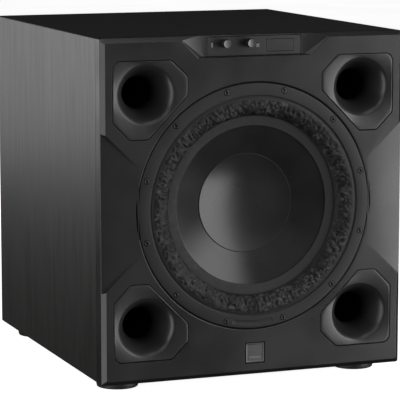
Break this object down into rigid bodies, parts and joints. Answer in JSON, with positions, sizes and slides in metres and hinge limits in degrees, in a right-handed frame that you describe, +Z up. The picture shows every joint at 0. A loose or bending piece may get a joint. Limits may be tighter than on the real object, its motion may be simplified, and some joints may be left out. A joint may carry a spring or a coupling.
{
  "type": "subwoofer",
  "caption": "Box-shaped powered bass loudspeaker with a large cone woofer, flared corner ports, top-front knobs and display, black cabinet on round feet.",
  "frame": {"origin": "middle of the footprint, on the surface the feet stand on", "axes": "front faces -Y, +Y runs from the front to the amplifier plate, +X to the right seen from the front, +Z up"},
  "size_m": [0.405, 0.4704, 0.443],
  "materials": {
    "cabinet_wood": "black vertical-grain veneer foil, satin",
    "bare_board": "bare fibreboard",
    "baffle_satin": "satin black",
    "port_plastic": "satin black",
    "ring_rubber": "matt black",
    "foot_rubber": "matt black",
    "cone_black": "satin black, faintly brushed",
    "surround_rubber": "textured black",
    "suspension_cloth": "resin-treated cloth",
    "coil_wire": "enamelled winding",
    "black_steel": "black powder coat",
    "ferrite": "raw ferrite",
    "panel_plastic": "satin black",
    "window_gloss": "smoked gloss",
    "knob_plastic": "black with a pale grey cap",
    "stem_steel": "plain steel",
    "badge_metal": "dark grey, blank",
    "plate_paint": "black powder coat",
    "heat_sink_black": "black anodised",
    "socket_plastic": "black",
    "board_green": "circuit board",
    "transformer_wire": "taped winding",
    "lead_rubber": "black sheath"
  },
  "bodies": {
    "cabinet": {"left_panel": "cabinet_wood", "right_panel": "cabinet_wood", "top_panel": "cabinet_wood", "bottom_panel": "cabinet_wood", "rear_panel": "cabinet_wood", "cross_brace": "bare_board", "front_baffle": "baffle_satin", "port_flare_top_left": "port_plastic", "port_flare_top_right": "port_plastic", "port_flare_bottom_left": "port_plastic", "port_flare_bottom_right": "port_plastic", "port_tube_top_left": "port_plastic", "port_tube_top_right": "port_plastic", "port_tube_bottom_left": "port_plastic", "port_tube_bottom_right": "port_plastic", "trim_ring": "ring_rubber", "gasket": "ring_rubber", "foot_front_left": "foot_rubber", "foot_front_right": "foot_rubber", "foot_rear_left": "foot_rubber", "foot_rear_right": "foot_rubber", "surround": "surround_rubber", "spider": "suspension_cloth", "basket": "black_steel", "top_plate": "black_steel", "back_plate_and_pole": "black_steel", "woofer_screw_01": "black_steel", "woofer_screw_02": "black_steel", "woofer_screw_03": "black_steel", "woofer_screw_04": "black_steel", "woofer_screw_05": "black_steel", "woofer_screw_06": "black_steel", "woofer_screw_07": "black_steel", "woofer_screw_08": "black_steel", "woofer_screw_09": "black_steel", "woofer_screw_10": "black_steel", "woofer_screw_11": "black_steel", "woofer_screw_12": "black_steel", "magnet": "ferrite", "control_panel": "panel_plastic", "display_window": "window_gloss", "badge": "badge_metal", "amplifier_plate": "plate_paint", "heat_sink": "heat_sink_black", "mains_inlet": "socket_plastic", "switch_frame": "socket_plastic", "input_sockets": "socket_plastic", "control_board": "board_green", "amplifier_board": "board_green", "transformer": "transformer_wire", "speaker_lead": "lead_rubber"},
    "cone_assembly": {"cone": "cone_black", "dust_cap": "cone_black", "coil_former": "suspension_cloth", "voice_coil": "coil_wire"},
    "volume_plunger": {"volume_stem": "stem_steel"},
    "volume_dial": {"volume_knob": "knob_plastic"},
    "menu_plunger": {"menu_stem": "stem_steel"},
    "menu_dial": {"menu_knob": "knob_plastic"},
    "power_rocker": {"mains_rocker": "socket_plastic"}
  },
  "joints": [
    {"name": "cone_travel", "type": "slide", "parent": "cabinet", "child": "cone_assembly", "axis": [0, -1, 0], "range_m": [-0.01, 0.01], "stiffness_N_per_m": 2500, "deforming": ["surround", "spider"]},
    {"name": "volume_press", "type": "slide", "parent": "cabinet", "child": "volume_plunger", "axis": [0, 1, 0], "range_m": [0, 0.0008], "stiffness_N_per_m": 1500, "springref_m": -0.001},
    {"name": "volume_turn", "type": "hinge", "parent": "volume_plunger", "child": "volume_dial", "pos_m": [-0.0402, -0.22875, 0.433], "axis": [0, -1, 0], "continuous": true},
    {"name": "menu_press", "type": "slide", "parent": "cabinet", "child": "menu_plunger", "axis": [0, 1, 0], "range_m": [0, 0.0008], "stiffness_N_per_m": 1500, "springref_m": -0.001},
    {"name": "menu_turn", "type": "hinge", "parent": "menu_plunger", "child": "menu_dial", "pos_m": [-0.008, -0.22875, 0.433], "axis": [0, -1, 0], "continuous": true},
    {"name": "mains_rock", "type": "hinge", "parent": "cabinet", "child": "power_rocker", "pos_m": [0.025, 0.21655, 0.128], "axis": [-1, 0, 0], "range_deg": [0, 16]}
  ]
}
